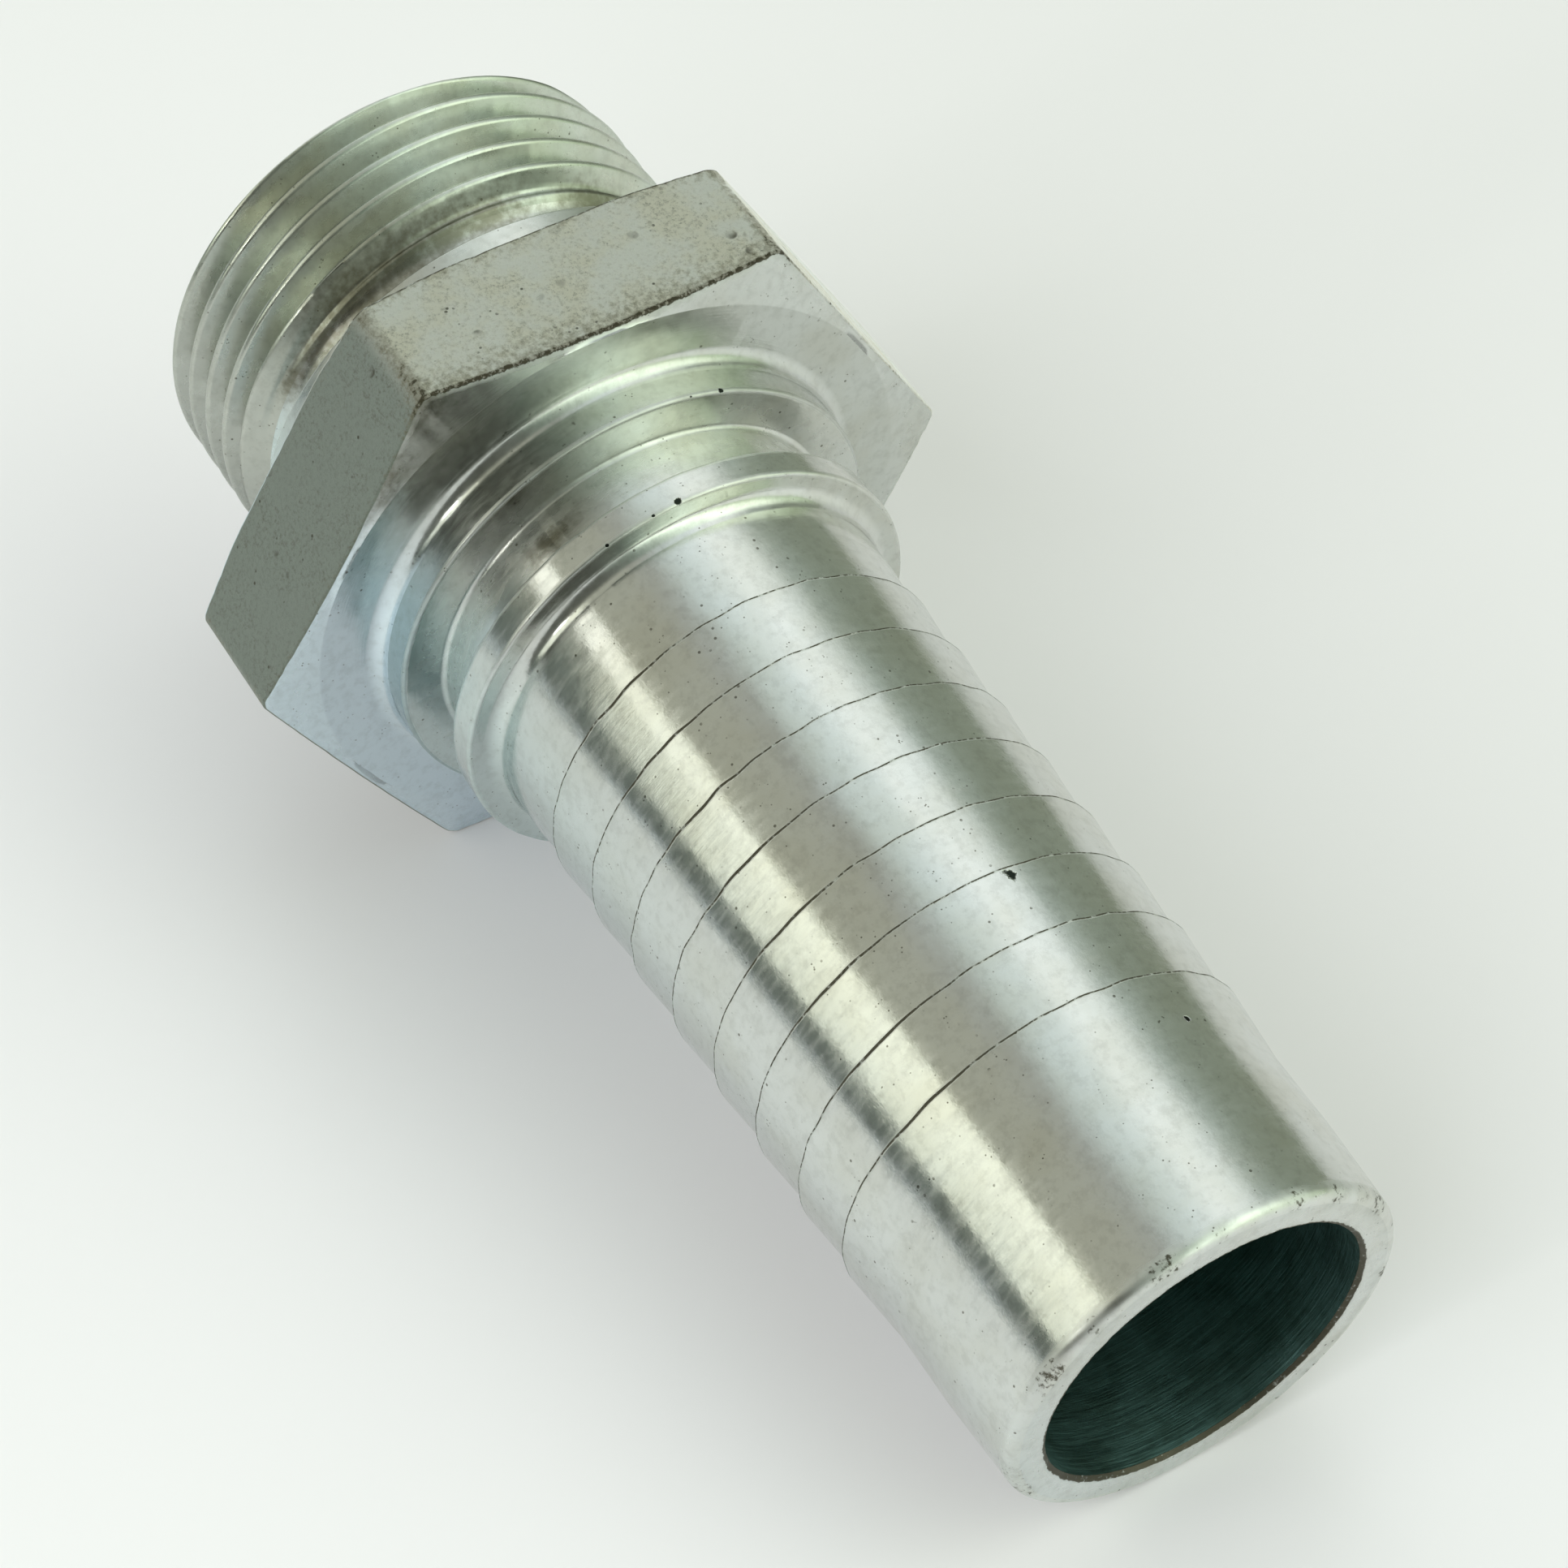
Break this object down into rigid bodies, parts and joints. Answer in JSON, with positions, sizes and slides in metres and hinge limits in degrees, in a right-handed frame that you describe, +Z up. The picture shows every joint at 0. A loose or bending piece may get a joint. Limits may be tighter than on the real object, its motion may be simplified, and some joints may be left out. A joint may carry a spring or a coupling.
{
  "type": "crimp hydraulic hose fitting",
  "caption": "Steel hose insert with a barbed tail, a locking collar and crimp groove, a wrench hexagon and a male parallel pipe thread, bored through with a cone seat.",
  "frame": {"origin": "middle of the footprint's box, on the surface that the fitting lies on", "axes": "+Z up; the fitting lies on its nose rim and a flat of the hexagon; the thread end points to +X and the axis rises towards it by 7.15 degrees; +Y completes a right-handed frame"},
  "size_m": [0.0948, 0.047, 0.0418],
  "materials": {
    "zinc_plated_steel": "bright zinc plating over fine turning marks"
  },
  "bodies": {
    "root": {"hose_insert": "zinc_plated_steel"}
  },
  "joints": []
}
